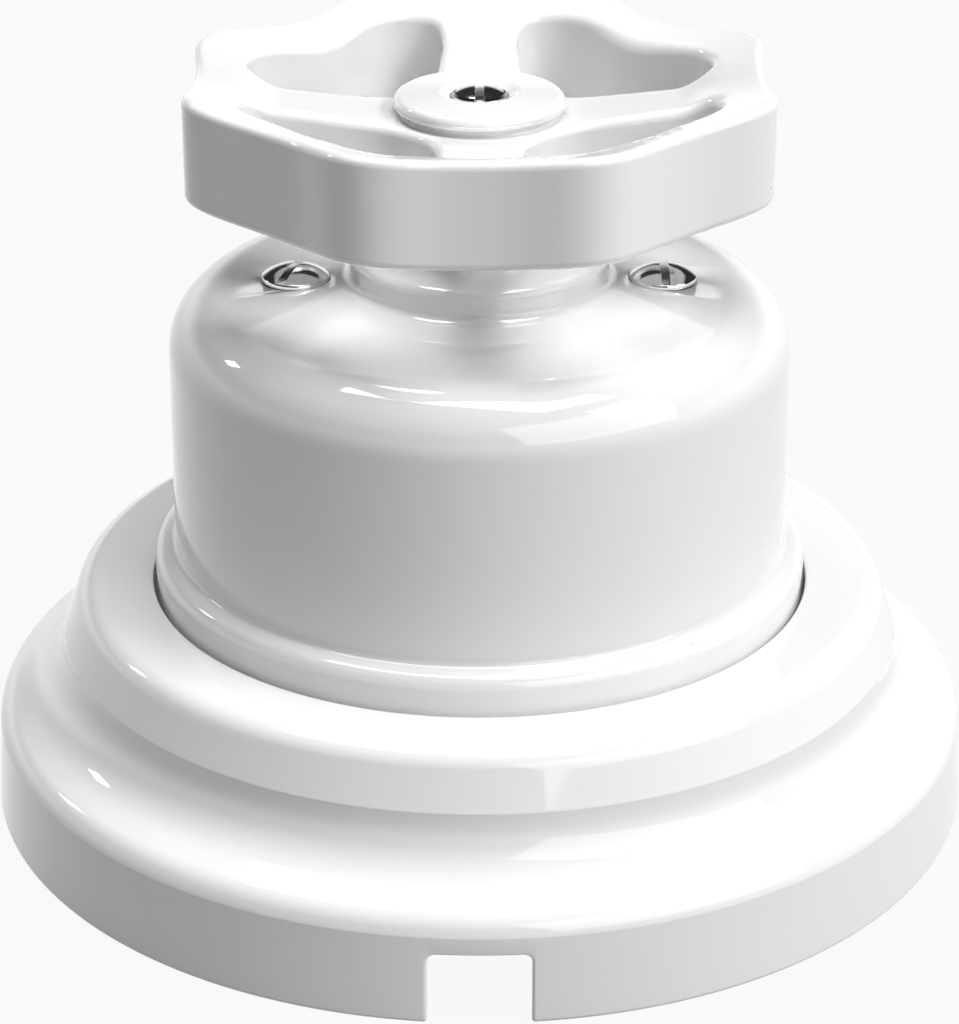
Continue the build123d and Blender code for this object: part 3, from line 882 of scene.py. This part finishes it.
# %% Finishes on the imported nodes
finishes = {
    frame_glaze: ["frame"],
    cover_glaze: ["cover"],
    knob_glaze: ["knob"],
    base_glaze: ["mechanism_base"],
    cover_nickel: ["cover_screws"],
    hub_nickel: ["knob_screw"],
    work_nickel: ["pillar_nuts", "terminal_screws"],
    turned_brass: [
        "cover_pillars", "lower_bush", "upper_bush", "shaft", "bridge_rivets", "terminal_rivets",
    ],
    sawn_brass: ["contact_bridge", "terminal_common", "terminal_way_one", "terminal_way_two"],
    rolled_bronze: ["contact_common", "contact_way_one", "contact_way_two"],
    zinc_plate: ["bearing_plate", "index_cam", "thrust_washer"],
    blued_spring: ["cam_circlip", "index_spring_front", "index_spring_rear"],
    resin_material: ["rotor_drum"],
}
for material, names in finishes.items():
    for name in names:
        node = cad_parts[name]
        node.data.materials.clear()
        node.data.materials.append(material)
print("finished nodes", sum(len(names) for names in finishes.values()))

# %% [markdown]
# The switch lies on its back on a pale table in a white studio. A white floor would bounce so much
# light up that the dark side went flat, so the floor is matt grey underneath. To the camera and in
# mirror reflections it glows white, so the table fades into the background while a trace of shadow
# stays. The world does the same: white to the camera and near the horizon in reflections, dim and
# even to everything else.

# %% Floor and world
floor_shape = bmesh.new()
bmesh.ops.create_grid(floor_shape, x_segments=8, y_segments=8, size=4.0)
floor = finish_mesh(floor_shape, "studio_floor")
table = Recipe(bpy.data.materials.new("white table"))
rays = table.node("ShaderNodeLightPath", {}, {}, "Is Camera Ray")
mirror = Signal(table, rays.socket.node.outputs["Is Glossy Ray"])
seen = rays.math("MAXIMUM", rays, mirror)
table.finish({"Base Color": tint(0.22, 0.22, 0.22), "Roughness": 0.9})
glow = table.node("ShaderNodeEmission", {}, {"Color": tint(1, 1, 1), "Strength": 1.0})
matt = Signal(table, table.tree.nodes["Principled BSDF"].outputs[0])
surface = table.node("ShaderNodeMixShader", {}, {0: seen * 0.93, 1: matt, 2: glow})
table.feed(table.tree.nodes["Material Output"].inputs["Surface"], surface)
floor.data.materials.append(table.owner)

studio = bpy.data.worlds.new("studio")
bpy.context.scene.world = studio
air = Recipe(studio)
rays = air.node("ShaderNodeLightPath", {}, {}, "Is Camera Ray")
glossy, through = (
    Signal(air, rays.socket.node.outputs[name]) for name in ("Is Glossy Ray", "Is Transmission Ray")
)
mirror = glossy.math("MAXIMUM", glossy, through)
way = air.node("ShaderNodeTexCoord", {}, {}, "Generated")
climb = air.axes(way)[2]
horizon = 1 - air.rise(climb, 0.1, 0.35)
bright = rays.math("MAXIMUM", rays, mirror * horizon)
dim = 0.09 - mirror * 0.06
room = air.node("ShaderNodeBackground", {}, {"Color": tint(0.97, 0.98, 1), "Strength": dim})
white = air.node("ShaderNodeBackground", {}, {"Color": tint(1, 1, 1), "Strength": 1.0})
backdrop = air.node("ShaderNodeMixShader", {}, {0: bright, 1: room, 2: white})
air.feed(air.tree.nodes["World Output"].inputs["Surface"], backdrop)

# %% [markdown]
# Softboxes shape the porcelain. The one overhead draws the bright strip along each shoulder, and the
# one on the right lights that side and puts a second strip in the roundings. A wide one in front
# fills the walls, and a small one on the left gives glints but leaves that side grey. They are
# rectangles, because the reflections in the photograph have corners.

# %% Softboxes
def softbox(name, place, target, width, depth, power):
    """A rectangular area light at a place, facing a target, all in metres."""
    lamp = bpy.data.lights.new(name, "AREA")
    lamp.shape = "RECTANGLE"
    lamp.size = width
    lamp.size_y = depth
    lamp.energy = power
    stand = bpy.data.objects.new(name, lamp)
    stand.location = place
    stand.rotation_euler = (Vector(target) - Vector(place)).to_track_quat("-Z", "Y").to_euler()
    bpy.context.scene.collection.objects.link(stand)
    print(name, round(power / (width * depth), 1), "W per square metre")


middle = (0, 0, 0.04)
softbox("overhead", (0.02, 0.03, 0.9), middle, 0.85, 0.4, 7.7)
softbox("right side", (0.75, -0.3, 0.85), middle, 0.42, 0.3, 5.8)
softbox("front", (0.95, -0.95, 0.75), middle, 1.7, 1.0, 8.8)
softbox("left side", (-0.78, 0.42, 0.56), middle, 0.08, 0.1, 0.35)

# %% [markdown]
# The photograph was taken from a little above with a long lens, so the rings of the switch show as
# flat ellipses. Distance and focal length come from how much larger the near edge looks than the
# far one. The view transform stays plain, so that white is white.

# %% Camera
camera_data = bpy.data.cameras.new("camera")
camera_data.sensor_width = 36
camera_data.lens = 114.2
camera = bpy.data.objects.new("camera", camera_data)
camera.location = (0, -0.2996, 0.16695)
aim = Vector((0, 0, 0.02853)) - camera.location
camera.rotation_euler = aim.to_track_quat("-Z", "Y").to_euler()
bpy.context.scene.collection.objects.link(camera)
bpy.context.scene.camera = camera
bpy.context.scene.view_settings.view_transform = "Standard"
print("camera tilt", camera.rotation_euler.x)
